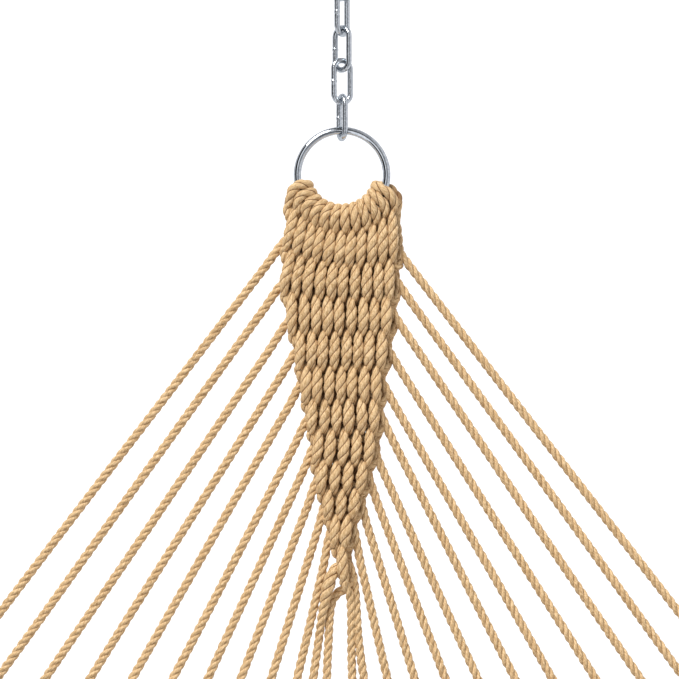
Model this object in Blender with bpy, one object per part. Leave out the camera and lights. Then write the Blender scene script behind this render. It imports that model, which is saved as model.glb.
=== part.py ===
"""A spreader-bar rope hammock, hung level between two hooks, in metres with +Z up.

The hammock runs along +X from the head hook, whose point of bearing in the first chain link is the
origin, to the foot hook. Each end is the same assembly turned about the vertical: a chain, a ring,
a woven clew, a fan of twenty-four rope strands and a drilled hardwood bar. The rope bed and its two
side ropes hang in a shallow curve between the bars.
"""

import math

import bmesh
import bpy
from mathutils import Matrix, Vector

# Rope
ROPE = 0.0065  # diameter of the laid rope, a quarter of an inch
ROPE_GAP = 0.0005  # left between a rope's solid and its neighbour's

# Chain
LINKS = 7
LINK_WIRE = 0.0045
LINK_INSIDE = 0.0285  # length of a link's opening
LINK_OPENING = 0.009  # width of a link's opening
LINK_TWISTS = (88, -19, 52, -55, 38, -18, 70)  # degrees from the clew's plane, hook to ring
TWIST_SPARE = 7  # degrees that two links can still turn on each other
METAL_GAP = 0.00035

# Ring
RING_OUTSIDE = 0.076  # three inches
RING_WIRE = 0.006

# Clew
CLEW_SLOPE = math.radians(21)  # fall of the chain and the clew from the hook
WRAP_HALF_ARC = math.radians(78)  # stretch of ring, each side of its lowest point, under the wraps
WRAP_RADIUS = 0.0100  # a wrap's outside, from the middle of the ring's wire
CLEW_OUTLINE = (  # distance below the ring's centre, half width, half thickness
    (0.029, 0.0440, 0.0090),
    (0.056, 0.0490, 0.0080),
    (0.100, 0.0440, 0.0072),
    (0.150, 0.0370, 0.0070),
    (0.205, 0.0280, 0.0070),
    (0.250, 0.0195, 0.0070),
    (0.290, 0.0105, 0.0068),
    (0.319, 0.0060, 0.0060),
)

# Strands: twelve leave each side of the clew, one at each row of its weave
STRANDS = 24
FIRST_EXIT = 0.059  # below the ring's centre
EXIT_STEP = 0.0275
EXIT_CLOSING = 0.00029  # the rows get this much shorter, by the square of the row's number
TIP_EXITS = (0.0112, 0.0037)  # half spacing of the last two pairs, under the clew's tip

# Spreader bars
RING_TO_BAR = 0.880
BAR_LENGTH = 1.397  # fifty-five inches
BAR_THICK = 0.019
BAR_TALL = 0.038
BAR_CORNER = 0.004
HOLE_PITCH = 0.058
HOLE = 0.0095
SIDE_HOLE = 0.6845  # from the middle of the bar to the side rope's hole
LOOP_DEPTH = 0.0125  # how far a strand's loop stands out behind the bar

# Bed
BED_LENGTH = 2.083  # eighty-two inches from bar to bar, along the curve
BED_END_SLOPE = math.radians(9.5)
BED_THICK = 0.008
BED_HALF_WIDTH = 0.680
BED_SETBACK = 0.031  # from the middle of a bar to the bed's edge
BED_PARTS = 16

COLOURS = {
    "steel": ((0.62, 0.65, 0.68, 1), 0.28, 1.0),
    "rope": ((0.56, 0.34, 0.16, 1), 0.85, 0.0),
    "oak": ((0.42, 0.25, 0.12, 1), 0.50, 0.0),
}


def clear_scene():
    for thing in list(bpy.data.objects):
        bpy.data.objects.remove(thing, do_unlink=True)


def make_materials():
    made = {}
    for name, (colour, roughness, metallic) in COLOURS.items():
        material = bpy.data.materials.new(name)
        material.use_nodes = True
        shader = material.node_tree.nodes["Principled BSDF"]
        shader.inputs["Base Color"].default_value = colour
        shader.inputs["Roughness"].default_value = roughness
        shader.inputs["Metallic"].default_value = metallic
        made[name] = material
    return made


def tube_mesh(name, points, radius, closed=False, sides=8, swell=None):
    """A round tube through the points, from a bevelled curve; swell gives each point's share of the radius."""
    curve = bpy.data.curves.new(name + "_route", "CURVE")
    curve.dimensions = "3D"
    curve.bevel_depth = radius
    curve.bevel_resolution = sides // 2 - 2
    curve.use_fill_caps = True
    spline = curve.splines.new("POLY")
    spline.points.add(len(points) - 1)
    for i, point in enumerate(points):
        spline.points[i].co = (*point, 1)
        spline.points[i].radius = swell[i] if swell else 1
    spline.use_cyclic_u = closed
    route = bpy.data.objects.new(name + "_route", curve)
    bpy.context.collection.objects.link(route)
    mesh = bpy.data.meshes.new_from_object(route.evaluated_get(bpy.context.evaluated_depsgraph_get()))
    bpy.data.objects.remove(route, do_unlink=True)
    mesh.name = name
    work = bmesh.new()
    work.from_mesh(mesh)
    bmesh.ops.remove_doubles(work, verts=work.verts, dist=1e-6)
    bmesh.ops.recalc_face_normals(work, faces=work.faces)
    work.to_mesh(mesh)
    work.free()
    return mesh


def add(name, mesh, material, parent, place=None):
    """An object on the mesh, at a place in its parent's frame."""
    thing = bpy.data.objects.new(name, mesh)
    bpy.context.collection.objects.link(thing)
    thing.parent = parent
    thing.matrix_local = place or Matrix()
    if material:
        if not mesh.materials:
            mesh.materials.append(material)
        mesh.shade_smooth()
        mesh.set_sharp_from_angle(angle=math.radians(40))
    return thing


def helper(thing):
    thing.hide_render = True
    thing.display_type = "WIRE"
    return thing


def empty(name, place):
    thing = bpy.data.objects.new(name, None)
    bpy.context.collection.objects.link(thing)
    thing.matrix_world = place
    return thing


def boolean(thing, other, operation):
    cut = thing.modifiers.new(other.name, "BOOLEAN")
    cut.object = other
    cut.operation = operation
    cut.solver = "EXACT"


# ---- chain ----


def crown_overlap(twist):
    """How far two linked crowns reach past each other, wire centre to wire centre, at this twist.

    Square to each other they bear wire on wire. Turned towards one plane, they ride apart.
    """
    radius = (LINK_OPENING + LINK_WIRE) / 2
    square = abs((abs(twist) + 90) % 180 - 90)
    turn = math.radians(max(square - TWIST_SPARE, 1))
    overlap = LINK_WIRE + METAL_GAP
    while True:
        nearest = min(
            math.hypot(
                2 * radius * math.sin(t) * math.sin(turn / 2),
                overlap - 2 * radius * (1 - math.cos(t)),
            )
            for t in (math.radians(step) for step in range(0, 91, 3))
        )
        if nearest >= LINK_WIRE + METAL_GAP:
            return overlap
        overlap += 0.00005


def chain_places():
    """Each link's centre along the line, from the bearing point between the first two, and the end of the last."""
    overlap = crown_overlap(LINK_TWISTS[1] - LINK_TWISTS[0])
    half = (LINK_INSIDE + LINK_WIRE) / 2
    centres = [overlap / 2 - half]
    for near, far in zip(LINK_TWISTS, LINK_TWISTS[1:]):
        centres.append(centres[-1] + 2 * half - crown_overlap(far - near))
    return centres


def link_mesh():
    """A link's centre-line: two straight sides and two half rounds, in its own XY plane."""
    radius = (LINK_OPENING + LINK_WIRE) / 2
    straight = (LINK_INSIDE - LINK_OPENING) / 2
    points = []
    for side in (1, -1):
        for step in range(7):
            turn = math.radians(90 - 30 * step)
            points.append((side * (straight + radius * math.cos(turn)), side * radius * math.sin(turn), 0))
    return tube_mesh("link", points, LINK_WIRE / 2, closed=True)


LINK_CENTRES = chain_places()
HOOK_TO_BEARING = LINK_INSIDE / 2 - LINK_CENTRES[0]  # from the hook to the swing line
LAST_CROWN = LINK_CENTRES[-1] + (LINK_INSIDE + LINK_WIRE) / 2
RING_RADIUS = (RING_OUTSIDE - RING_WIRE) / 2
RING_CENTRE = LAST_CROWN - (LINK_WIRE + RING_WIRE) / 2 - METAL_GAP - 0.0006 + RING_RADIUS
BAR_CENTRE = RING_CENTRE + RING_TO_BAR


# ---- ring and clew ----


def circle(radius, start, end, steps):
    """Points in the XY plane from one angle to another, measured from +X."""
    turns = (start + (end - start) * i / steps for i in range(steps + 1))
    return [(radius * math.cos(turn), radius * math.sin(turn), 0) for turn in turns]


def ring_mesh():
    points = circle(RING_RADIUS, 0, 2 * math.pi, 40)[:-1]
    return tube_mesh("ring", points, RING_WIRE / 2, closed=True)


def clew_slab_mesh():
    """The woven taper as a loft of eight-sided sections, in the ring's frame."""
    work = bmesh.new()
    rings = []
    for along, wide, thick in CLEW_OUTLINE:
        edge = min(thick, wide) * 0.55
        corners = ((wide, thick - edge), (wide - edge, thick), (edge - wide, thick), (-wide, thick - edge))
        section = [*corners, *((-y, -z) for y, z in corners)]
        rings.append([work.verts.new((along, y, z)) for y, z in section])
    for near, far in zip(rings, rings[1:]):
        for i in range(len(near)):
            j = (i + 1) % len(near)
            work.faces.new((near[i], near[j], far[j], far[i]))
    work.faces.new(rings[0])
    work.faces.new(rings[-1])
    bmesh.ops.recalc_face_normals(work, faces=work.faces)
    mesh = bpy.data.meshes.new("clew")
    work.to_mesh(mesh)
    work.free()
    return mesh


def clew_half_width(along):
    """The clew's half width, read between the points of its outline."""
    for (a, wide_a, _), (b, wide_b, _) in zip(CLEW_OUTLINE, CLEW_OUTLINE[1:]):
        if along <= b:
            return wide_a + (wide_b - wide_a) * (along - a) / (b - a)
    return CLEW_OUTLINE[-1][1]


# ---- strands ----


def exit_point(number, mouth):
    """Where strand number (0 outermost) of the +Y side starts, in the line's frame, on its way to its hole."""
    along = FIRST_EXIT + EXIT_STEP * number - EXIT_CLOSING * number * number
    from_tip = STRANDS // 2 - 1 - number
    if from_tip < len(TIP_EXITS):
        out = TIP_EXITS[-1 - from_tip]
    else:
        out = clew_half_width(along) + ROPE / 2
    start = Vector((RING_CENTRE + along, out, 0))
    way = (mouth - start).normalized()
    clear = 0.0045 * abs(way.y) / max(way.x, 0.1) + 0.002
    return start + way * clear


def bar_point(depth, across):
    """A point of the bar's frame, depth along its holes, in the line's frame."""
    tilt = (CLEW_SLOPE - BED_END_SLOPE) / 2
    return Vector((BAR_CENTRE + depth * math.cos(tilt), across, depth * math.sin(tilt)))


def leg_points(hole, towards):
    """One leg of a loop: out of the clew, through its hole, and round behind the bar to the next one."""
    across = (hole - (STRANDS - 1) / 2) * HOLE_PITCH
    side = 1 if across > 0 else -1
    number = hole if across < 0 else STRANDS - 1 - hole
    mouth = bar_point(-BAR_THICK / 2 - 0.007, across)
    start = exit_point(number, Vector((mouth.x, abs(mouth.y), mouth.z)))
    start.y *= side
    back = BAR_THICK / 2 + LOOP_DEPTH
    return [
        start,
        mouth,
        bar_point(-BAR_THICK / 2, across),
        bar_point(BAR_THICK / 2 + 0.004, across),
        bar_point(back - 0.004, across + towards * 0.003),
        bar_point(back, across + towards * 0.010),
    ]


def loop_mesh(first_hole):
    points = leg_points(first_hole, 1) + leg_points(first_hole + 1, -1)[::-1]
    return tube_mesh("strand_loop", points, ROPE / 2)


# ---- bars ----


def bar_mesh(name):
    mesh = bpy.data.meshes.new(name)
    work = bmesh.new()
    bmesh.ops.create_cube(work, size=1)
    bmesh.ops.scale(work, vec=(BAR_THICK, BAR_LENGTH, BAR_TALL), verts=work.verts)
    long_edges = [e for e in work.edges if abs(e.verts[0].co.y - e.verts[1].co.y) > BAR_LENGTH / 2]
    bmesh.ops.bevel(work, geom=long_edges, offset=BAR_CORNER, segments=2, affect="EDGES", profile=0.5)
    work.to_mesh(mesh)
    work.free()
    return mesh


def drill_mesh():
    """Every hole of a bar as one cutter: a row for the strands and one more hole near each end."""
    work = bmesh.new()
    holes = [(i - (STRANDS - 1) / 2) * HOLE_PITCH for i in range(STRANDS)]
    for across in (*holes, SIDE_HOLE, -SIDE_HOLE):
        place = Matrix.Translation((0, across, 0)) @ Matrix.Rotation(math.pi / 2, 4, "Y")
        bmesh.ops.create_cone(
            work, cap_ends=True, segments=8, radius1=HOLE / 2, radius2=HOLE / 2, depth=BAR_THICK * 2, matrix=place
        )
    mesh = bpy.data.meshes.new("drill")
    work.to_mesh(mesh)
    work.free()
    return mesh


# ---- one end of the hammock ----


def build_end(end, line, meshes, materials):
    for i, centre in enumerate(LINK_CENTRES):
        twist = Matrix.Rotation(math.radians(LINK_TWISTS[i]), 4, "X")
        place = Matrix.Translation((centre, 0, 0)) @ twist
        add(f"{end}_link_{i + 1}", meshes["link"], materials["steel"], line, place)
    at_ring = Matrix.Translation((RING_CENTRE, 0, 0))
    add(f"{end}_ring", meshes["ring"], materials["steel"], line, at_ring)
    clew = add(f"{end}_clew", meshes["clew"], materials["rope"], line, at_ring)
    wraps = helper(add(f"{end}_wraps", meshes["wraps"], None, line, at_ring))
    tunnel = helper(add(f"{end}_tunnel", meshes["tunnel"], None, line, at_ring))
    boolean(clew, wraps, "UNION")
    boolean(clew, tunnel, "DIFFERENCE")
    for i, mesh in enumerate(meshes["loops"]):
        add(f"{end}_strand_loop_{i + 1:02d}", mesh, materials["rope"], line)
    tilt = Matrix.Rotation((BED_END_SLOPE - CLEW_SLOPE) / 2, 4, "Y")
    at_bar = Matrix.Translation((BAR_CENTRE, 0, 0)) @ tilt
    bar = add(f"{end}_spreader_bar", meshes["bar"], materials["oak"], line, at_bar)
    boolean(bar, helper(add(f"{end}_drill", meshes["drill"], None, line, at_bar)), "DIFFERENCE")


# ---- bed ----

BED_RADIUS = BED_LENGTH / (2 * BED_END_SLOPE)
BAR_FROM_HOOK = HOOK_TO_BEARING + BAR_CENTRE
BAR_X = BAR_FROM_HOOK * math.cos(CLEW_SLOPE)
BAR_Z = -BAR_FROM_HOOK * math.sin(CLEW_SLOPE)
HALF_SPAN = BAR_X + BED_RADIUS * math.sin(BED_END_SLOPE)


def bed_point(along, across):
    """A point of the bed's curve, from the middle of the head bar (0) to the middle of the foot bar."""
    turn = (2 * along / BED_LENGTH - 1) * BED_END_SLOPE
    lowest = BAR_Z - BED_RADIUS * (1 - math.cos(BED_END_SLOPE))
    return Vector((HALF_SPAN + BED_RADIUS * math.sin(turn), across, lowest + BED_RADIUS * (1 - math.cos(turn))))


def bed_mesh():
    work = bmesh.new()
    run = BED_LENGTH - 2 * BED_SETBACK
    rows = [
        [work.verts.new(bed_point(BED_SETBACK + run * i / BED_PARTS, side * BED_HALF_WIDTH)) for side in (-1, 1)]
        for i in range(BED_PARTS + 1)
    ]
    for near, far in zip(rows, rows[1:]):
        work.faces.new((near[0], far[0], far[1], near[1]))
    mesh = bpy.data.meshes.new("rope_bed")
    work.to_mesh(mesh)
    work.free()
    return mesh


def side_rope_mesh(name, across):
    """From a stopper knot outside the head bar, through both bars, to the same knot at the foot."""
    knot = BAR_THICK / 2 + 0.0006
    tilt = (CLEW_SLOPE + BED_END_SLOPE) / 2
    head = []
    for depth, swell in (
        (-knot - 0.0200, 0.5),
        (-knot - 0.0185, 1.6),
        (-knot - 0.0140, 2.6),
        (-knot - 0.0070, 2.8),
        (-knot - 0.0025, 2.3),
        (-knot, 1.2),
        (0.0, 1.0),
        (BAR_THICK / 2 + 0.002, 1.0),
    ):
        head.append((Vector((BAR_X + depth * math.cos(tilt), across, BAR_Z - depth * math.sin(tilt))), swell))
    foot = [(Vector((2 * HALF_SPAN - p.x, p.y, p.z)), swell) for p, swell in head[::-1]]
    run = BED_LENGTH - 2 * BED_SETBACK
    middle = [(bed_point(BED_SETBACK + run * i / BED_PARTS, across), 1.0) for i in range(BED_PARTS + 1)]
    route = head + middle + foot
    return tube_mesh(name, [p for p, _ in route], ROPE / 2, swell=[s for _, s in route])


def build_bed(middle, materials):
    bed = add("rope_bed", bed_mesh(), materials["rope"], middle)
    thickness = bed.modifiers.new("thickness", "SOLIDIFY")
    thickness.thickness = BED_THICK
    thickness.offset = 0
    for side, name in ((1, "left"), (-1, "right")):
        mesh = side_rope_mesh(f"side_rope_{name}", side * SIDE_HOLE)
        add(f"side_rope_{name}", mesh, materials["rope"], middle)


def main():
    clear_scene()
    materials = make_materials()
    # A line's frame: +X down the chain from the swing line, Z square to the clew.
    fall = Matrix.Rotation(CLEW_SLOPE, 4, "Y")
    first = Vector((HOOK_TO_BEARING * math.cos(CLEW_SLOPE), 0, -HOOK_TO_BEARING * math.sin(CLEW_SLOPE)))
    last = Vector((2 * HALF_SPAN - first.x, 0, first.z))
    lines = {
        "head": empty("head_line", Matrix.Translation(first) @ fall),
        "foot": empty("foot_line", Matrix.Translation(last) @ Matrix.Rotation(math.pi, 4, "Z") @ fall),
    }
    wrap_arc = circle(RING_RADIUS, -WRAP_HALF_ARC, WRAP_HALF_ARC, 14)
    full_turn = circle(RING_RADIUS, 0, 2 * math.pi, 40)[:-1]
    meshes = {
        "link": link_mesh(),
        "ring": ring_mesh(),
        "clew": clew_slab_mesh(),
        "wraps": tube_mesh("wraps", wrap_arc, WRAP_RADIUS, sides=12),
        "tunnel": tube_mesh("tunnel", full_turn, RING_WIRE / 2 + METAL_GAP, closed=True),
        "loops": [loop_mesh(hole) for hole in range(0, STRANDS, 2)],
        "bar": bar_mesh("spreader_bar"),
        "drill": drill_mesh(),
    }
    for end, line in lines.items():
        build_end(end, line, meshes, materials)
    build_bed(empty("swing_axis", Matrix()), materials)


main()
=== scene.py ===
"""What shows of the rope hammock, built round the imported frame, in metres with +Z up.

The sections run from the hooks inwards: chain, rings, clew ropes, bars, bed and side ropes, then the
floor, the light and the camera. Each end is the same set of pieces, the foot's turned half round.
"""

import math

import bmesh
import bpy
import numpy as np
from mathutils import Matrix, Vector


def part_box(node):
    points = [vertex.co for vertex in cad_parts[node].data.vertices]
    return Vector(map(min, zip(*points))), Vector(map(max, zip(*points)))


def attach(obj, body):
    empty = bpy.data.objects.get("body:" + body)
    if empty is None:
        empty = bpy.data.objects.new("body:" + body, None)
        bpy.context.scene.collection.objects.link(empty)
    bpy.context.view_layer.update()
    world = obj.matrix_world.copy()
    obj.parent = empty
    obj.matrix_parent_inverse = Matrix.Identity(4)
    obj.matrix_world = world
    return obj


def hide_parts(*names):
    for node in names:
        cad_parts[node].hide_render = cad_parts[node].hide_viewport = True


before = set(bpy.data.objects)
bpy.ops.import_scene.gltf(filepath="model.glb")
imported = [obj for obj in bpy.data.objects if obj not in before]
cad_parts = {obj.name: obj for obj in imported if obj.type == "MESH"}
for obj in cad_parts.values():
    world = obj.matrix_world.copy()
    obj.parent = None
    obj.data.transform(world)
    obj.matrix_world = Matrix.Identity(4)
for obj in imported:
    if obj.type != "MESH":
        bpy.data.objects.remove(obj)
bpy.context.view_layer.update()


# ---- Chain: seven short-link welded links at each end ----
# 4.5 mm steel wire cut, bent round and butt-welded halfway down one side, then bright zinc plated.
# Each link stands across the one before it, and the first hangs on the support's hook.

SLOPE = math.radians(21)  # of each hanging line, from its hook down to its bar
LINK_LENGTH, LINK_WIDTH, LINK_WIRE = 0.0375, 0.0180, 0.0045
LINK_TWISTS = (88, -19, 52, -55, 38, -18, 70)  # degrees each link stands turned about that line
WELD_HALF, WELD_PROUD = 0.0011, 0.00025  # the weld's swollen collar
NECK_AT, NECK_HALF, NECK_DEEP = 0.0015, 0.0005, 0.0003  # and the pinch on either side of it
LINK_SIDES, BEND_STEPS, STRAIGHT_STEPS = 20, 16, 24


def middle(node):
    low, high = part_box(node)
    return (low + high) / 2


def hung(end, place):
    """The frame of a hanging line: +X down the chain and the clew, +Y across, +Z square to the clew."""
    turned = Matrix.Rotation(math.pi, 4, "Z") if end == "foot" else Matrix()
    return Matrix.Translation(place) @ turned @ Matrix.Rotation(SLOPE, 4, "Y")


def unit(vectors):
    return vectors / np.linalg.norm(vectors, axis=-1, keepdims=True)


def carried(points, closed):
    """Tangents along a line of points, and a side direction carried along it without twisting."""
    if closed:
        tangents = unit(np.roll(points, -1, 0) - np.roll(points, 1, 0))
    else:
        tangents = unit(np.gradient(points, axis=0))
    least = np.eye(3)[np.argmin(np.abs(tangents[0]))]
    side = unit(np.cross(tangents[0], least))
    sides = []
    for tangent in tangents:
        side = side - tangent * (side @ tangent)
        side = side / math.sqrt(side @ side)
        sides.append(side)
    sides = np.array(sides)
    last = side - tangents[0] * (side @ tangents[0])
    leftover = math.atan2(np.cross(sides[0], last) @ tangents[0], sides[0] @ last)
    return tangents, sides, leftover


def grid_mesh(name, grid, closed):
    """A tube's mesh from its sections, one row of points each, with capped ends unless it closes."""
    rows, sides = grid.shape[:2]
    row = np.arange(rows if closed else rows - 1)[:, None]
    side = np.arange(sides)[None, :]
    after, beside = (row + 1) % rows, (side + 1) % sides
    corners = (row * sides + side, row * sides + beside, after * sides + beside, after * sides + side)
    faces = np.stack(np.broadcast_arrays(*corners), -1).reshape(-1, 4).tolist()
    if not closed:
        faces += [list(range(sides))[::-1], list(range((rows - 1) * sides, rows * sides))]
    mesh = bpy.data.meshes.new(name)
    mesh.from_pydata(grid.reshape(-1, 3).tolist(), [], faces)
    mesh.shade_smooth()
    return mesh


def wire_mesh(name, points, radii, sides):
    """Round wire along the points and back to the first."""
    points = np.asarray(points, float)
    tangents, across, _ = carried(points, True)
    over = np.cross(tangents, across)
    turn = np.linspace(0, 2 * math.pi, sides, endpoint=False)[None, :, None]
    ring = across[:, None] * np.cos(turn) + over[:, None] * np.sin(turn)
    return grid_mesh(name, points[:, None] + ring * np.asarray(radii)[:, None, None], True)


def add(name, mesh, material, body, place=None, stands_for=()):
    """A piece of the object: what it is made of, where it is, what it moves with and what it stands for."""
    piece = bpy.data.objects.new(name, mesh)
    bpy.context.collection.objects.link(piece)
    if not mesh.materials:
        mesh.materials.append(material)
    piece.matrix_world = place or Matrix()
    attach(piece, body)
    if stands_for:
        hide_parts(*stands_for)
    return piece


class Nodes:
    """Makers of shader nodes in one tree. Each feeds the new node and returns one of its outputs."""

    def __init__(self, owner):
        owner.use_nodes = True
        self.tree = owner.node_tree

    def feed(self, socket, value):
        if isinstance(value, bpy.types.NodeSocket):
            self.tree.links.new(value, socket)
        else:
            socket.default_value = value

    def node(self, kind, output=0, settings=None, first=(), **inputs):
        """A node of that kind, fed its first inputs in order and the others by name."""
        made = self.tree.nodes.new(kind)
        for key, value in (settings or {}).items():
            setattr(made, key, value)
        for socket, value in zip(made.inputs, first):
            self.feed(socket, value)
        for key, value in inputs.items():
            self.feed(made.inputs[key.replace("_", " ")], value)
        return made.outputs[output]

    def mix(self, share, low, high):
        """A blend of two colours."""
        made = self.tree.nodes.new("ShaderNodeMix")
        made.data_type = "RGBA"
        for socket, value in zip((made.inputs[0], made.inputs[6], made.inputs[7]), (share, low, high)):
            self.feed(socket, value)
        return made.outputs[2]


class Shader(Nodes):
    """A material under construction."""

    def __init__(self, name):
        self.material = bpy.data.materials.new(name)
        super().__init__(self.material)

    def set(self, **inputs):
        for key, value in inputs.items():
            self.feed(self.tree.nodes["Principled BSDF"].inputs[key.replace("_", " ")], value)

    def named(self, attribute, output=2):
        """A value stored on the mesh."""
        return self.node("ShaderNodeAttribute", output, {"attribute_name": attribute})

    def spread(self, value, low, high, to_low=0.0, to_high=1.0):
        """The value eased from one range to another."""
        return self.node(
            "ShaderNodeMapRange", 0, {"interpolation_type": "SMOOTHSTEP"},
            Value=value, From_Min=low, From_Max=high, To_Min=to_low, To_Max=to_high,
        )


def zinc_material(name, rough, bump):
    """Bright zinc plate on steel: bluish, slightly blotchy, with the drawn wire's fine dents under it."""
    zinc = Shader(name)
    place = zinc.node("ShaderNodeTexCoord", 3)
    blotch = zinc.node("ShaderNodeTexNoise", 0, Vector=place, Scale=420.0, Detail=4.0, Roughness=0.6)
    zinc.set(
        Base_Color=zinc.mix(zinc.spread(blotch, 0.3, 0.7), (0.43, 0.465, 0.50, 1), (0.60, 0.63, 0.66, 1)),
        Metallic=1.0,
        Specular_Tint=(0.45, 0.48, 0.52, 1),
        Roughness=zinc.spread(blotch, 0.25, 0.8, rough * 0.5, rough * 1.5),
        Normal=zinc.node("ShaderNodeBump", 0, Strength=bump, Distance=0.0005, Height=blotch),
    )
    return zinc.material


def link_mesh():
    """One link in its own XY plane: half rounds and straight sides, with the weld's collar on one side."""
    radius = (LINK_WIDTH - LINK_WIRE) / 2
    straight = (LINK_LENGTH - LINK_WIDTH) / 2
    points, radii = [], []
    for side in (1, -1):
        for step in range(BEND_STEPS + 1):
            turn = math.pi / 2 - math.pi * step / BEND_STEPS
            points.append((side * (straight + radius * math.cos(turn)), side * radius * math.sin(turn), 0))
            radii.append(LINK_WIRE / 2)
        for step in range(1, STRAIGHT_STEPS):
            along = straight * (1 - 2 * step / STRAIGHT_STEPS)
            points.append((side * along, -side * radius, 0))
            collar = WELD_PROUD * max(0, 1 - (along / WELD_HALF) ** 2)
            neck = NECK_DEEP * max(0, 1 - abs(abs(along) - NECK_AT) / NECK_HALF)
            radii.append(LINK_WIRE / 2 + (collar - neck if side > 0 else 0))
    return wire_mesh("welded_link", points, radii, LINK_SIDES)


zinc = zinc_material("bright_zinc_link", 0.10, 0.5)
link = link_mesh()
for end in ("head", "foot"):
    for number, twist in enumerate(LINK_TWISTS, 1):
        node = f"{end}_link_{number}"
        place = hung(end, middle(node)) @ Matrix.Rotation(math.radians(twist), 4, "X")
        body = "supports" if number == 1 else f"{node}_turning"
        add(f"{end}_chain_link_{number}", link, zinc, body, place, [node])


# ---- Rings: one at the bottom of each chain ----
# A three-inch ring of 6 mm steel wire, welded shut and bright zinc plated. The last link and the
# twelve turns of rope sit loose on it, so it can be turned round between them.

RING_RADIUS, RING_WIRE = 0.0350, 0.0060
RING_WELD_AT = math.radians(100)
RING_WELD_HALF, RING_WELD_PROUD = 0.0016, 0.00012
RING_STEPS, RING_SIDES = 160, 24


def ring_mesh():
    turns = np.linspace(0, 2 * math.pi, RING_STEPS, endpoint=False)
    points = np.stack([RING_RADIUS * np.cos(turns), RING_RADIUS * np.sin(turns), 0 * turns], 1)
    weld = np.abs(turns - RING_WELD_AT) * RING_RADIUS
    radii = RING_WIRE / 2 + RING_WELD_PROUD * np.clip(1 - (weld / RING_WELD_HALF) ** 2, 0, 1)
    return wire_mesh("welded_ring", points, radii, RING_SIDES)


ring = ring_mesh()
polished = zinc_material("bright_zinc_ring", 0.06, 0.06)
ring_places = {end: hung(end, middle(f"{end}_ring")) for end in ("head", "foot")}
for end, place in ring_places.items():
    add(f"{end}_welded_ring", ring, polished, f"{end}_ring_turning", place, [f"{end}_ring"])


# ---- Clew ropes: twelve to an end, from the ring through the weave to the bar and back ----
# Laid rope of tan spun fibre. Each is middled over the ring, and its legs change between front and back at
# every row. Then the outermost leg on each side is led across and out, straight to its hole in the bar,
# and two neighbours are one rope, joined behind the bar. Worked out in millimetres from the ring's centre.

ROPES = 12  # to an end, and as many rows in the weave
WEAVE_ROPE, STRAND_ROPE = 9.3, 7.4  # thickness over the crests, loosened in the weave and taut
LAY = 21.0  # along a taut rope for one turn of its strands
STRAND_OUT, STRAND_RADIUS, LOBE = 0.225, 0.275, 60  # in thicknesses, and degrees to either side of a crest
WRAP_TURN = math.radians(13.2)  # round the ring from one rope to the next
WRAP_STEPS = (60, 30, 4)  # degrees down over the ring's wire
ROW_ENDS = (46, 71, 97.5, 124, 151.5, 177.5, 201, 226, 248, 268, 291, 320)
ROW_BOWS = ((0.68, 0.1), (0.33, 0.85), (0.12, 0.45))  # how far the first rows' ends bow up, and tilt
LEAN = 0.6  # of a leg across as it changes between front and back
PITCH_AT = (23, 55, 82, 110, 165, 188, 213, 237, 262, 290, 320)
PITCHES = (7.5, 8.3, 9.1, 9.2, 9.05, 9.6, 10.0, 10.4, 9.8, 8.2, 7.4)  # between legs, at those places
WANDER_AT = (30, 57, 84, 111, 138, 164, 189, 213, 237, 262, 285, 305, 320)
WANDER = (0, -1.6, -3.9, -2.0, -1.2, -1.2, 0.8, 1.2, -0.8, -0.8, -1.8, 0.5, 3.2)  # of the middle, there
SHED, NESTLE = 7.5, 1.8  # how far out a leg stands half way through its row, and at the row's ends
UNEVEN_THICK, UNEVEN_OUT, UNEVEN_ACROSS = 0.035, 0.5, 0.45  # as a share, and in millimetres
OPEN_DEPTH, CREVICE = 7.6, 4.2  # where painted shade starts to darken the weave inwards, and over what depth
CLEAR_LEFT = (  # across and below, where each strand is well clear of the weave
    (-62.4, 74.6), (-62.0, 106.0), (-57.3, 137.4), (-45.1, 153.1), (-43.6, 184.5), (-39.3, 215.9),
    (-30.2, 231.6), (-28.3, 263.0), (-19.2, 278.7), (-15.3, 310.1), (-17.3, 357.2), (-11.0, 372.9),
)
CLEAR_RIGHT = (
    (55.7, 74.6), (58.9, 106.0), (48.7, 121.7), (45.9, 153.1), (43.6, 184.5), (43.6, 215.9),
    (31.8, 231.6), (29.8, 263.0), (20.8, 278.7), (15.7, 310.1), (13.5, 370.0), (7.6, 385.0),
)
TIP_STARTS = {  # where the last strands come out, by row and whether right: below and across
    (11, False): (308, -3.6), (11, True): (311, 7.4), (12, False): (334, -7.2), (12, True): (331, 6.4),
}
TIP_TURN = (  # the slack turn of row eleven's left strand: below, across, out and thickness
    (314, -8.2, 4.0, 10.0), (323, -11.0, 3.8, 10.6), (334, -13.4, 2.2, 8.8), (347, -15.9, 0.6, 7.7),
)
BAR_BELOW, BAR_TILT, BAR_THICK, HOLE_PITCH = 880.0, math.radians(5.75), 19.0, 58.0
LED_ROPE = 6.6  # thickness of a rope pressed between the legs that it is led past
STRANDS_OUT, STRAND_SWAY, STRAND_STEPS = -1.5, 0.5, 9  # where strands leave the clew, and how they waver
BEFORE_BAR, BEHIND_BAR = 8.0, 12.5  # a strand's last straight stretch, and its run from hole to hole
ROUTE_STEP = 0.6  # between the points of a route before it is sampled
WEAVE_FINE, STRAND_FINE, KNOT_FINE, BED_FINE = 1.3, 1.6, 1.8, 3.2  # between a rope's sections
FINE_TO = 440  # below this the strands' sections are further apart
THICK, WIDE, DEEP, FINE, FLAT_X, FLAT_Y, CREVICE_SHADE = range(3, 10)  # a knot's columns, after its place


def across_at(below, u):
    """Where the leg of offset u lies across the clew at that distance below the ring's centre."""
    return np.interp(below, WANDER_AT, WANDER) + u * np.interp(below, PITCH_AT, PITCHES)


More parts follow.
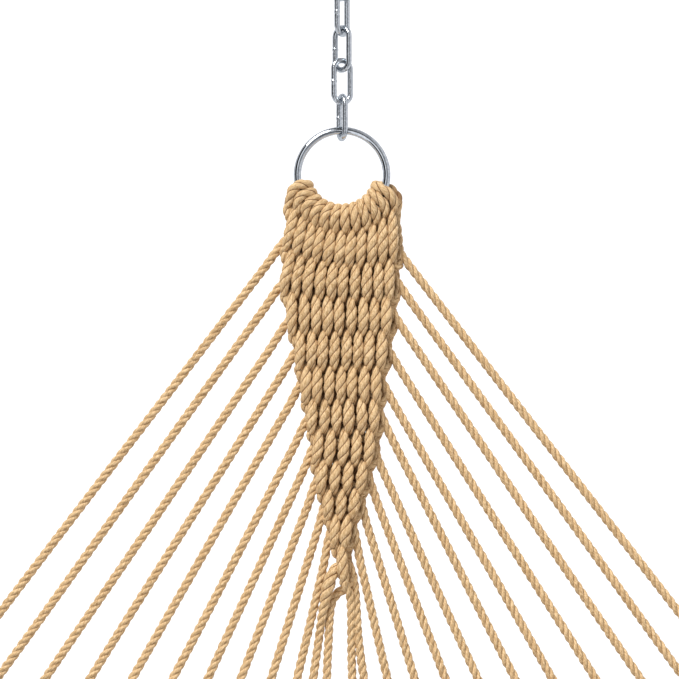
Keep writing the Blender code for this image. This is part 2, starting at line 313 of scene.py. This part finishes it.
def row_end(row, u):
    """Where that row ends for the leg of offset u. The first rows bow up at their ends, with the ring."""
    bow, tilt = ROW_BOWS[row - 1] if row <= len(ROW_BOWS) else (0, 0)
    return ROW_ENDS[row - 1] - (bow * u * u - tilt * u)


def knot(below, across, out, thick=WEAVE_ROPE, wide=1.0, deep=1.0, fine=WEAVE_FINE, flat=(0, 1), crevice_shade=0.0):
    """A point of a rope's route.

    After its place come the rope's thickness there, how it is squeezed across its flat side and through it,
    the spacing of its sections, which way its flat side faces, and how deep in the weave it lies, which
    sets the share of painted shade that darkens its colour there.
    """
    return (below, across, out, thick, wide, deep, fine, *flat, crevice_shade)


def eased(t, start, leave, finish, arrive):
    """The place at t on a smooth path from start to finish that leaves and arrives in those directions."""
    return (
        (2 * t**3 - 3 * t**2 + 1) * start
        + (t**3 - 2 * t**2 + t) * leave
        + (3 * t**2 - 2 * t**3) * finish
        + (t**3 - t**2) * arrive
    )


def from_ring(turn, front, u):
    """From the inside of the ring, over its front or its back, down to the end of the first row."""
    out = 1 if front else -1
    inward = 7.6 + 1.5 * math.cos(turn) ** 2
    flat = (-math.sin(turn), math.cos(turn))
    knots = []
    ring_radius = RING_RADIUS * 1000
    for degrees in WRAP_STEPS:
        lift = math.radians(degrees)
        turn -= out * WRAP_TURN / 12
        radius = ring_radius - inward * math.sin(lift)
        below, across = radius * math.cos(turn), radius * math.sin(turn)
        knots.append(knot(below, across, out * 7.5 * math.cos(lift), wide=0.90, flat=flat))
    end = row_end(1, u)
    start = np.array((ring_radius * math.cos(turn), ring_radius * math.sin(turn)))
    finish = np.array((end, across_at(end, u)))
    pull = 0.9 * np.linalg.norm(finish - start)
    leave, arrive = pull * np.array((math.cos(turn), math.sin(turn))), pull * np.array((1.0, 0.0))
    for t in (0.3, 0.55, 0.8):
        along = eased(t, start, leave, finish, arrive)
        out_here = out * 7.4 * math.cos(math.pi / 2 * t) ** 0.6
        knots.append(knot(*along, out_here, wide=1.0 - 0.2 * t, crevice_shade=0.5 + t / 2))
    return knots


def uneven(row, u, kind):
    """A hand-made difference, the same every time, between -1 and 1."""
    return math.sin(12.9 * row + 37.7 * u + 5.3 * kind + 3 * math.sin(7.1 * u - 2.3 * row))


def down_row(row, u, front):
    """Through one row, from its upper end to just short of its lower one."""
    top, bottom = row_end(row - 1, u), row_end(row, u)
    way = 1 if front else -1
    thick = WEAVE_ROPE * (1 + UNEVEN_THICK * uneven(row, u, 1))
    shed = (SHED + UNEVEN_OUT * uneven(row, u, 2)) * way
    aside = UNEVEN_ACROSS * uneven(row, u, 3)
    # The weave's painted crevice shade: legs at the edge of the weave, with fewer ropes round them, take
    # less of it.
    outermost = not -(ROPES - row) / 2 + 0.25 < u < (ROPES - row) / 2 + 0.25
    crevice_shade = 0.3 if outermost else 1.0
    knots = []
    for t in (0.0, 0.1, 0.26, 0.5, 0.74, 0.9):
        below = top + (bottom - top) * t
        full = math.sin(math.pi * t)
        across = across_at(below, u) + way * LEAN * math.cos(math.pi * t) + aside * full
        out = shed * full**0.6 + NESTLE * (1 - full)
        knots.append(knot(below, across, out, thick, 0.66 + 0.38 * full, 0.98, crevice_shade=crevice_shade))
    return knots


def strand_line(row, right):
    """Where a strand is clear of the weave, where it comes from under the outermost leg, and its hole."""
    side = 1 if right else -1
    across, below = (CLEAR_RIGHT if right else CLEAR_LEFT)[row - 1]
    hole = side * (ROPES + 0.5 - row) * HOLE_PITCH
    way = np.array((BAR_BELOW - BAR_THICK / 2 - BEFORE_BAR - below, hole - across))
    way /= np.linalg.norm(way)
    start = np.array((below, across))
    edge = side * (ROPES - 1 - row) / 2
    while side * (start[1] - across_at(start[0], edge)) > 2.0:
        start = start - way * 0.5
    start = np.array(TIP_STARTS.get((row, right), start), float)
    return (below, across), start, way, hole


def led_right(row, u):
    """The leftmost front leg of the row: round the next leg and across, behind the next row's front."""
    top = row_end(row, u)
    _, start, way, _ = strand_line(row, True)
    if row == ROPES:
        return [knot(top - 1, 1.8, 5.0, 8.6), knot(top + 5, 4.4, 3.0, 7.4), knot(*start, 0.8, STRAND_ROPE)]
    knots = [
        knot(top, across_at(top, u) - LEAN, 2.0, WEAVE_ROPE, 0.92),
        knot(top + 4.5, across_at(top + 5, u + 0.02) - LEAN / 2, 1.6, WEAVE_ROPE, 0.9),
        knot(top + 8.5, across_at(top + 9, u + 0.2), -0.4, 7.4),
        knot(top + 10.5, across_at(top + 10, u + 0.62), -1.0, 6.8),
    ]
    end = start - way * 4 - np.array((2.5, 5.0))
    first = np.array(knots[-1][:2])
    for t in (0.25, 0.6):
        if end[1] - first[1] > 16:
            knots.append(knot(*(first + (end - first) * t), 0.0, LED_ROPE))
    if end[1] > first[1] + 2:
        knots.append(knot(*end, -0.5, LED_ROPE))
    return [*knots, knot(*start, -2.5, STRAND_ROPE)]


def led_left(row, u):
    """The rightmost back leg of the row: down behind the next row, round its end and across beneath."""
    top = row_end(row, u)
    _, start, way, _ = strand_line(row, False)
    if row == ROPES:
        under = [knot(top, 6.2, -5.0, 8.0), knot(top + 5, 3.8, -6.0, 8.0), knot(top + 7, -1.0, -4.0, 8.2)]
        return [*under, knot(*start, -3.0, STRAND_ROPE)]
    turn = ROW_ENDS[row]
    half = (top + turn) / 2
    knots = [
        knot(top, across_at(top, u) - 1.0, -3.5, WEAVE_ROPE, 0.8, 1.05),
        knot(half, across_at(half, u - 0.75), -7.0, 8.0),
        knot(turn - 6, across_at(turn, u - 0.75), -4.8, 7.4),
        knot(turn - 0.8, across_at(turn, u - 0.52), -0.8, 7.2),
        knot(turn + 1.0, across_at(turn, u - 0.85), 0.8, 7.0),
        knot(turn - 2.5, across_at(turn, u - 1.3), 0.0, LED_ROPE),
    ]
    end = start - way * 4 + np.array((-1.0, 5.0))
    first = np.array(knots[-1][:2])
    for t in (0.35, 0.7):
        if first[1] - end[1] > 16:
            knots.append(knot(*(first + (end - first) * t), 0.0, LED_ROPE))
    if end[1] < first[1] - 2:
        knots.append(knot(*end, -0.8, LED_ROPE))
    if row == ROPES - 1:
        return [*knots, knot(*start, 1.0, 8.6), *(knot(*at) for at in TIP_TURN)]
    return [*knots, knot(*start, -2.5, STRAND_ROPE)]


def out_to_bar(row, right, light):
    """A strand from clear of the weave straight to its hole, and half way to the next behind the bar."""
    (below, across), _, _, hole = strand_line(row, right)
    side = 1 if right else -1
    towards = -side if row % 2 else side

    def at_bar(depth, y):
        down = BAR_BELOW + depth * math.cos(BAR_TILT)
        return knot(down, y, depth * math.sin(BAR_TILT), STRAND_ROPE, fine=light)

    mouth = at_bar(-BAR_THICK / 2 - BEFORE_BAR, hole)
    clear = (below, across, STRANDS_OUT)
    knots = [knot(*clear, STRAND_ROPE, fine=STRAND_FINE)]
    for step in range(1, STRAND_STEPS):
        t = step / STRAND_STEPS
        x, y, z = (a + (b - a) * t for a, b in zip(clear, mouth[:3]))
        sway = STRAND_SWAY * math.sin(row * 2.1 + side + step * 1.7) * math.sin(math.pi * t)
        fine = STRAND_FINE if x < FINE_TO else light
        knots.append(knot(x, y + sway, z + sway, STRAND_ROPE, fine=fine))
    back = BAR_THICK / 2 + BEHIND_BAR
    return [
        *knots, mouth, at_bar(-BAR_THICK / 2, hole), at_bar(BAR_THICK / 2 + 4, hole),
        at_bar(back - 3.5, hole + towards * 3), at_bar(back, hole + towards * 10),
        at_bar(back, hole + towards * (HOLE_PITCH / 2 - 0.01)),
    ]


def leg_route(wrap, front, light):
    """One leg of a rope, from the inside of the ring to the middle of its run behind the bar."""
    from_middle = wrap - (ROPES + 1) / 2
    u = from_middle if front else from_middle + 0.5
    right = wrap <= ROPES / 2
    last = 2 * wrap - (1 if front else 0) if right else 2 * (ROPES + 1 - wrap) - (0 if front else 1)
    knots = from_ring(from_middle * WRAP_TURN, front, u)
    for row in range(2, last + 1):
        knots += down_row(row, u, ((ROPES - row) / 2 + u) % 1 == 0)
    knots += led_right(last, u) if right else led_left(last, u)
    return knots + out_to_bar(last, right, light)


def rounded(knots, closed):
    """A smooth line through the knots, every column carried along, as close points."""
    knots = np.asarray(knots, float)
    if closed:
        knots = np.vstack([knots[-1:], knots, knots[:2]])
    else:
        knots = np.vstack([2 * knots[:1] - knots[1:2], knots, 2 * knots[-1:] - knots[-2:-1]])
    gaps = np.sqrt(np.linalg.norm(np.diff(knots[:, :3], axis=0), axis=1))[:, None]
    slopes = np.diff(knots, axis=0) / gaps
    tangents = (slopes[:-1] * gaps[1:] + slopes[1:] * gaps[:-1]) / (gaps[:-1] + gaps[1:])
    line = []
    for i in range(1, len(knots) - 2):
        gap = gaps[i]
        count = max(2, int(np.linalg.norm(knots[i + 1, :3] - knots[i, :3]) / ROUTE_STEP))
        t = (np.arange(count) / count)[:, None]
        line.append(eased(t, knots[i], gap * tangents[i - 1], knots[i + 1], gap * tangents[i]))
    if not closed:
        line.append(knots[-2:-1])
    return np.vstack(line)


def spaced(line, closed, coarser):
    """The line at the spacing its own column asks for, each point's distance along it, and its length."""
    if closed:
        line = np.vstack([line, line[:1]])
    lengths = np.linalg.norm(np.diff(line[:, :3], axis=0), axis=1)
    travel = np.concatenate([[0], np.cumsum(lengths)])
    steps = (line[1:, FINE] + line[:-1, FINE]) / 2 * coarser
    count = np.concatenate([[0], np.cumsum(lengths / steps)])
    wanted = np.linspace(0, count[-1], int(count[-1]) + 1)
    if closed:
        wanted = wanted[:-1]
    places = np.interp(wanted, count, travel)
    return np.stack([np.interp(places, travel, column) for column in line.T], 1), places, travel[-1]


def squeezed(offset, line, tangents):
    """The offsets pressed flatter across each section's flat side and through it."""
    flat = np.stack([line[:, FLAT_X], line[:, FLAT_Y], 0 * line[:, FLAT_X]], 1)
    flat -= tangents * np.sum(flat * tangents, 1, keepdims=True)
    flat /= np.maximum(np.linalg.norm(flat, axis=1, keepdims=True), 0.3)
    for way, factor in ((flat, line[:, WIDE]), (np.cross(tangents, flat), line[:, DEEP])):
        share = np.sum(offset * way[:, None], 2, keepdims=True)
        offset = offset + (factor[:, None, None] - 1) * share * way[:, None]
    return offset


def laid_turns(line, travel, length, closed, leftover):
    """How many turns the strands have made at each point. A closed rope's come out whole."""
    looser = 1 / (1 + 0.1 * (line[:, THICK] - STRAND_ROPE))
    turns = np.concatenate([[0], np.cumsum((looser[1:] + looser[:-1]) / 2 * np.diff(travel))]) / LAY
    if closed:
        whole = turns[-1] + (length - travel[-1]) / LAY
        carried_over = leftover / (2 * math.pi)
        turns *= (round(whole + carried_over) - carried_over) / whole
    return turns


def laid_rope(name, knots, closed, samples, coarser=1.0):
    """Three strands laid up right-handed along the route, with that many samples round each.

    The samples stand closer together near the grooves, which are shallower where the rope is loosened.
    """
    line, travel, length = spaced(rounded(knots, closed), closed, coarser)
    points = line[:, :3]
    tangents, sides, leftover = carried(points, closed)
    overs = np.cross(tangents, sides)
    turns = laid_turns(line, travel, length, closed, leftover)
    even = np.linspace(-1, 1, samples + 1)[:-1]
    lobe = np.tile(LOBE * np.sin(even * math.pi * 0.4) / math.sin(math.pi * 0.4), 3)
    bend = np.radians(lobe)
    lobed = STRAND_OUT * np.cos(bend) + np.sqrt(STRAND_RADIUS**2 - (STRAND_OUT * np.sin(bend)) ** 2)
    slack = np.clip((line[:, THICK, None] - STRAND_ROPE) / (WEAVE_ROPE - STRAND_ROPE), 0, 1)
    reach = 0.5 - (0.5 - lobed[None, :]) * (0.95 - 0.32 * slack)
    angle = np.radians(np.repeat((0, 120, 240), samples) + lobe)[None, :] + (turns * 2 * math.pi)[:, None]
    offset = sides[:, None] * np.cos(angle)[..., None] + overs[:, None] * np.sin(angle)[..., None]
    offset = squeezed(offset * (line[:, THICK, None] * reach)[..., None], line, tangents)
    surface = points[:, None] + offset
    mesh = grid_mesh(name, surface / 1000, closed)
    # Painted shade, stored on the mesh: how deep in the weave each point lies, times the knot's share of it.
    depth = np.clip((OPEN_DEPTH - np.abs(surface[..., 2])) / CREVICE, 0, 1)
    # How near each point is to a groove between strands, for painted shade there, a little more where the
    # rope is loosened.
    groove = np.abs(lobe)[None, :] / LOBE * (0.94 + 0.06 * slack)
    along = np.broadcast_to(travel[:, None] / 12, angle.shape)
    yarn = np.stack([np.cos(angle), np.sin(angle), along], -1)
    for key, kind, field, values in (
        ("painted_crevice_shade", "FLOAT", "value", line[:, CREVICE_SHADE, None] * depth),
        ("groove", "FLOAT", "value", groove),
        ("yarn", "FLOAT_VECTOR", "vector", yarn),
    ):
        mesh.attributes.new(key, kind, "POINT").data.foreach_set(field, values.astype(np.float32).ravel())
    return mesh


def rope_material():
    rope = Shader("spun_tan_rope")
    groove = rope.named("groove")
    yarn = rope.named("yarn", 1)
    place = rope.node("ShaderNodeTexCoord", 3)
    streak = rope.node("ShaderNodeTexNoise", 0, Vector=yarn, Scale=4.0, Detail=3.0, Roughness=0.7)
    patch = rope.node("ShaderNodeTexNoise", 0, Vector=place, Scale=55.0, Detail=2.0)
    tone = rope.mix(rope.spread(streak, 0.38, 0.62), (0.455, 0.274, 0.118, 1), (0.800, 0.583, 0.330, 1))
    tone = rope.mix(rope.spread(patch, 0.35, 0.65, 0.0, 0.35), tone, (0.680, 0.461, 0.236, 1))
    # Painted shade: a dark brown painted into the grooves between the strands.
    tone = rope.mix(rope.spread(groove, 0.80, 0.98), tone, (0.150, 0.060, 0.018, 1))
    # Painted shade: a dark brown painted into the rope where it lies deep in the weave's crevices.
    tone = rope.mix(rope.spread(rope.named("painted_crevice_shade"), 0.0, 1.0, 0.0, 0.8), tone, (0.130, 0.050, 0.012, 1))
    rope.set(
        Base_Color=tone,
        Roughness=0.78,
        Specular_IOR_Level=0.25,
        Sheen_Weight=0.12,
        Sheen_Roughness=0.5,
        Sheen_Tint=(1.0, 0.85, 0.65, 1),
        Normal=rope.node("ShaderNodeBump", 0, Strength=0.4, Distance=0.0004, Height=streak),
    )
    return rope.material


rope_look = rope_material()
for end in ("head", "foot"):
    # Samples round a strand, how much further apart the sections are, and between those near the bar.
    samples, coarser, light = (7, 1.0, 3.4) if end == "head" else (4, 1.9, 2.2)
    for wrap in range(1, ROPES + 1):
        number = f"{ROPES + 1 - wrap:02d}"
        name = f"{end}_clew_rope_{number}"
        knots = leg_route(wrap, False, light)[::-1] + leg_route(wrap, True, light)
        mesh = laid_rope(name, knots, True, samples, coarser)
        stands_for = [f"{end}_strand_loop_{number}", f"{end}_clew"]
        add(name, mesh, rope_look, "hammock", ring_places[end], stands_for)


# ---- Spreader bars: one at each end, holding the strands and the bed at full width ----
# Oak, 55 inches by 1 1/2 by 3/4, planed, with rounded arrises and sealed with a clear varnish. Twenty-four
# holes take the strands and one more near each end takes a side rope; each is eased at its mouths.

BAR_LENGTH, BAR_TALL, BAR_ARRIS = 1.397, 0.038, 0.004
HOLE, HOLE_EASE, HOLE_SIDES = 0.0095, 0.0011, 28  # a hole's width and the easing of its mouths
SIDE_HOLE = 0.6845  # from the middle of the bar to a side rope's hole
PAST = 0.002  # how far the drill passes each face


def solved(thing):
    """The object's mesh with its modifiers worked out, and the object gone."""
    mesh = bpy.data.meshes.new_from_object(thing.evaluated_get(bpy.context.evaluated_depsgraph_get()))
    bpy.data.objects.remove(thing)
    return mesh


def working(name, work):
    """An object made of the mesh under construction."""
    mesh = bpy.data.meshes.new(name)
    work.to_mesh(mesh)
    work.free()
    thing = bpy.data.objects.new(name, mesh)
    bpy.context.collection.objects.link(thing)
    return thing


def bar_mesh():
    work = bmesh.new()
    bmesh.ops.create_cube(work, size=1)
    bmesh.ops.scale(work, vec=(BAR_THICK / 1000, BAR_LENGTH, BAR_TALL), verts=work.verts)
    bmesh.ops.bevel(work, geom=work.edges[:], offset=BAR_ARRIS, segments=6, affect="EDGES", profile=0.5)
    bar = working("bar_blank", work)
    work = bmesh.new()
    places = [(i - ROPES + 0.5) * HOLE_PITCH / 1000 for i in range(2 * ROPES)] + [SIDE_HOLE, -SIDE_HOLE]
    half = BAR_THICK / 2000
    mouth = HOLE / 2 + HOLE_EASE + PAST
    profile = (
        (-half - PAST, mouth), (-half + HOLE_EASE, HOLE / 2),
        (half - HOLE_EASE, HOLE / 2), (half + PAST, mouth),
    )
    turns = np.linspace(0, 2 * math.pi, HOLE_SIDES, endpoint=False)
    for across in places:
        loops = [
            [work.verts.new((x, across + r * math.cos(t), r * math.sin(t))) for t in turns]
            for x, r in profile
        ]
        for near, far in zip(loops, loops[1:]):
            for i in range(HOLE_SIDES):
                after = (i + 1) % HOLE_SIDES
                work.faces.new((near[i], near[after], far[after], far[i]))
        work.faces.new(loops[0])
        work.faces.new(loops[-1])
    bmesh.ops.recalc_face_normals(work, faces=work.faces)
    drill = working("drill", work)
    cut = bar.modifiers.new("holes", "BOOLEAN")
    cut.object = drill
    cut.solver = "EXACT"
    mesh = solved(bar)
    bpy.data.objects.remove(drill)
    mesh.name = "drilled_bar"
    mesh.shade_smooth()
    mesh.set_sharp_from_angle(angle=math.radians(35))
    return mesh


def oak_material():
    oak = Shader("varnished_oak")
    place = oak.node("ShaderNodeTexCoord", 3)
    long = oak.node("ShaderNodeMapping", 0, Vector=place, Scale=(1.0, 0.06, 1.0))
    bands = oak.node(
        "ShaderNodeTexNoise", 0, Vector=long, Scale=160.0, Detail=5.0, Roughness=0.6, Distortion=0.6
    )
    pores = oak.node("ShaderNodeTexNoise", 0, Vector=long, Scale=1500.0, Detail=2.0)
    tone = oak.mix(oak.spread(bands, 0.3, 0.7), (0.300, 0.150, 0.060, 1), (0.520, 0.300, 0.130, 1))
    tone = oak.mix(oak.spread(pores, 0.62, 0.75, 0.0, 0.6), tone, (0.150, 0.070, 0.030, 1))
    oak.set(
        Base_Color=tone,
        Roughness=0.42,
        Coat_Weight=0.6,
        Coat_Roughness=0.18,
        Normal=oak.node("ShaderNodeBump", 0, Strength=0.25, Distance=0.0003, Height=pores),
    )
    return oak.material


oak_look = oak_material()
bar = bar_mesh()
for end in ("head", "foot"):
    node = f"{end}_spreader_bar"
    place = hung(end, middle(node)) @ Matrix.Rotation(-BAR_TILT, 4, "Y")
    add(f"{end}_oak_bar", bar, oak_look, "hammock", place, [node])


# ---- Rope bed: the net between the bars ----
# The same laid rope, worked as a net without knots. Twelve closed ropes each pass round the strands'
# run behind both bars and zigzag between them, hooking round their neighbour at every meeting. The
# outermost hook round the side ropes. It hangs in a shallow curve.

BED_SLOPE = math.radians(9.5)  # of the bed at each bar
SPACES = 36  # from one meeting to the next, bar to bar
BIGHT_BACK = 22.0  # from a bar's middle to the strands' run behind it
TOUCH = 3.6  # from where two ropes hook to the middle of either

head_bar, foot_bar = middle("head_spreader_bar"), middle("foot_spreader_bar")
bed_radius = (foot_bar.x - head_bar.x) * 500 / math.sin(BED_SLOPE)
bed_length = 2 * BED_SLOPE * bed_radius
row_gap = (bed_length - 2 * BIGHT_BACK) / SPACES


def on_bed(along, across, over):
    """A knot of a route over the bed: along the curve from the head bar, across it and above it."""
    turn = (2 * along / bed_length - 1) * BED_SLOPE
    lowest = head_bar.z * 1000 - bed_radius * (1 - math.cos(BED_SLOPE))
    x = (head_bar.x + foot_bar.x) * 500 + (bed_radius - over) * math.sin(turn)
    z = lowest + bed_radius - (bed_radius - over) * math.cos(turn)
    return knot(x, across, z, STRAND_ROPE, fine=BED_FINE)


def zigzag(leg):
    """The knots of one leg of the net, from its first meeting to its last, between the two bars."""
    knots = []
    centre = (leg - ROPES + 0.5) * HOLE_PITCH
    for meeting in range(1, SPACES):
        side = 1 if (leg + meeting) % 2 == 0 else -1
        along = BIGHT_BACK + meeting * row_gap
        border = (leg == 0 and side < 0) or (leg == 2 * ROPES - 1 and side > 0)
        meet = side * SIDE_HOLE * 1000 if border else centre + side * HOLE_PITCH / 2
        hook = side * (2 * TOUCH if border else TOUCH)
        knots += [
            on_bed(along - 8, meet - side * 0.5, hook),
            on_bed(along, meet + hook, 0),
            on_bed(along + 8, meet - side * 0.5, -hook),
        ]
    return knots


def round_bight(loop, foot):
    """Round the strands' run behind a bar, from over it to under it."""
    across = (2 * loop - ROPES + 1) * HOLE_PITCH
    over = -BIGHT_BACK * math.sin(BAR_TILT)
    reach = 2 * TOUCH
    knots = [
        (BIGHT_BACK + 16, across - 7, over + 5.5), (BIGHT_BACK + 3, across - 3, over + reach),
        (BIGHT_BACK - reach, across, over), (BIGHT_BACK + 3, across + 3, over - reach),
        (BIGHT_BACK + 16, across + 7, over - 5.0),
    ]
    if foot:
        return [on_bed(bed_length - along, y, z) for along, y, z in knots]
    return [on_bed(*each) for each in knots][::-1]


for loop in range(ROPES):
    there, back = zigzag(2 * loop), zigzag(2 * loop + 1)[::-1]
    knots = there + round_bight(loop, True) + back + round_bight(loop, False)
    name = f"bed_rope_{loop + 1:02d}"
    mesh = laid_rope(name, knots, True, 4, 1.1)
    add(name, mesh, rope_look, "hammock", None, ["rope_bed"])


# ---- Side ropes: the selvedge down each side of the bed ----
# The same rope, through a hole near the end of each bar and stopped outside it with a double overhand
# knot, hauled tight. The bed's outermost ropes hook round it.

STOPPER_STEPS = 16  # eighths of a turn round the knot
STOPPER_RADIUS, STOPPER_FROM, STOPPER_LONG = 6.4, 4.2, 13.0  # of its turns, from the bar's outer face


def stopper(across, foot):
    """From the tail's tip round the knot to the far side of the bar."""
    tilt = SLOPE - BAR_TILT
    face = -BAR_THICK / 2
    bar_middle, inwards = (foot_bar, -1) if foot else (head_bar, 1)

    def at_bar(depth, y, z):
        x = depth * math.cos(tilt) + z * math.sin(tilt)
        up = -depth * math.sin(tilt) + z * math.cos(tilt)
        place = (bar_middle.x * 1000 + inwards * x, across + y, bar_middle.z * 1000 + up)
        return knot(*place, STRAND_ROPE, fine=KNOT_FINE)

    knots = [at_bar(face - 9, 13.5, -7.0), at_bar(face - 7, 9.5, -3.0)]
    for step in range(STOPPER_STEPS + 1):
        turn = math.radians(-20 + 45 * step)
        depth = face - STOPPER_FROM - STOPPER_LONG * step / STOPPER_STEPS
        knots.append(at_bar(depth, STOPPER_RADIUS * math.cos(turn), STOPPER_RADIUS * math.sin(turn)))
    knots += [at_bar(face - 21.5, 3.0, -3.0), at_bar(face - 20.5, 0.6, -0.3)]
    return knots + [at_bar(face - 12, 0, 0), at_bar(face - 3, 0, 0), at_bar(-face + 3, 0, 0)]


run = np.linspace(40, bed_length - 40, 30)
for side, hand in ((1, "left"), (-1, "right")):
    name = f"{hand}_selvedge"
    across = side * SIDE_HOLE * 1000
    edge = [on_bed(along, across, 0) for along in run]
    knots = stopper(across, False) + edge + stopper(across, True)[::-1]
    add(name, laid_rope(name, knots, False, 4), rope_look, "hammock", None, [f"side_rope_{hand}"])


# ---- Floor, light and camera ----
# A pale studio floor under the hammock with a painted pool of light glowing on it under the clew, a broad
# soft light up and to the left, and a lens square to the head end's clew, from its near side.

LOOK_BELOW, LOOK_ACROSS = 0.129, -0.002  # what the lens points at, from the head ring's centre
LENS, SENSOR, VIEW_WIDE = 85, 36, 0.533  # millimetres, and metres across the view there
FLOOR_BELOW, FLOOR_HALF = 1.15, 150  # under the hooks, and half its width
WORLD_STOPS = (  # how light the walls are, from facing away from the dark side to facing it
    (0.0, 0.9), (0.12, 1.3), (0.30, 0.6), (0.54, 0.4), (0.60, 0.05), (0.66, 0.05), (0.70, 1.3),
    (0.82, 1.3), (0.86, 0.03), (1.0, 0.03),
)


def floor(spot):
    """Pale grey paint that glows in a painted pool of light under the clew, fading out further away."""
    paint = Shader("pale_floor")
    place = paint.node("ShaderNodeTexCoord", 3)
    away = paint.node("ShaderNodeVectorMath", 1, {"operation": "DISTANCE"}, (place, spot))
    # Painted light: the floor's paint glows, brightest within 0.75 m of the spot and fading out by 3.4 m.
    painted_glow = paint.spread(away, 0.75, 3.4, 0.4, 0.02)
    paint.set(Base_Color=(0.62, 0.62, 0.63, 1), Roughness=0.9)
    paint.set(Emission_Color=(1, 1, 1, 1), Emission_Strength=painted_glow)
    work = bmesh.new()
    bmesh.ops.create_grid(work, x_segments=1, y_segments=1, size=FLOOR_HALF)
    ground = working("studio_floor", work)
    ground.data.materials.append(paint.material)
    ground.location = (0, 0, spot.z)


def soft_light(name, way, strength, spread):
    """A broad distant light shining from that way, in degrees of spread."""
    lamp = bpy.data.lights.new(name, "SUN")
    lamp.energy = strength
    lamp.angle = math.radians(spread)
    thing = bpy.data.objects.new(name, lamp)
    bpy.context.collection.objects.link(thing)
    thing.rotation_euler = way.to_track_quat("Z", "Y").to_euler()


def room(side):
    """Walls lit unevenly: dark to that side, a soft box round the dark, and pale beyond and low down."""
    walls = bpy.data.worlds.new("studio_room")
    nodes = Nodes(walls)
    way = nodes.node("ShaderNodeTexCoord")
    towards = nodes.node("ShaderNodeVectorMath", 1, {"operation": "DOT_PRODUCT"}, (way, side))
    half = nodes.node("ShaderNodeMath", 0, {"operation": "MULTIPLY_ADD"}, (towards, 0.5, 0.40))
    patches = nodes.node("ShaderNodeTexNoise", 0, Vector=way, Scale=3.0)
    shifted = nodes.node("ShaderNodeMath", 0, {"operation": "MULTIPLY_ADD"}, (patches, 0.20, half))
    bands = nodes.node("ShaderNodeValToRGB", 0, None, (shifted,))
    ramp = bands.node.color_ramp
    for i, (place, light) in enumerate(WORLD_STOPS):
        stop = ramp.elements[i] if i < 2 else ramp.elements.new(place)
        stop.position = place
        stop.color = (light, light, light * 1.04, 1)
    height = nodes.node("ShaderNodeSeparateXYZ", 2, None, (way,))
    above = nodes.node("ShaderNodeMapRange", 0, Value=height, From_Min=0.2, From_Max=0.32)
    light = nodes.mix(above, (0.80, 0.80, 0.82, 1), bands)
    nodes.feed(walls.node_tree.nodes["Background"].inputs[0], light)
    bpy.context.scene.world = walls


def studio():
    bpy.context.scene.view_settings.view_transform = "Standard"
    line = ring_places["head"]
    target = line @ Vector((LOOK_BELOW, LOOK_ACROSS, 0))
    up, right, out = (line.to_3x3() @ Vector(way) for way in ((-1, 0, 0), (0, 1, 0), (0, 0, 1)))
    room(out * 0.34 - right * 0.94)
    floor(target - out * (target.z + FLOOR_BELOW) / out.z)
    soft_light("key", up * 1.8 - right * 1.0 + out * 1.6, 3.0, 25)
    lens = bpy.data.cameras.new("lens")
    lens.lens = LENS
    lens.clip_start = 0.05
    camera = bpy.data.objects.new("camera", lens)
    bpy.context.collection.objects.link(camera)
    turn = Matrix((right, up, out)).transposed().to_4x4()
    camera.matrix_world = Matrix.Translation(target + out * VIEW_WIDE * LENS / SENSOR) @ turn
    bpy.context.scene.camera = camera


studio()
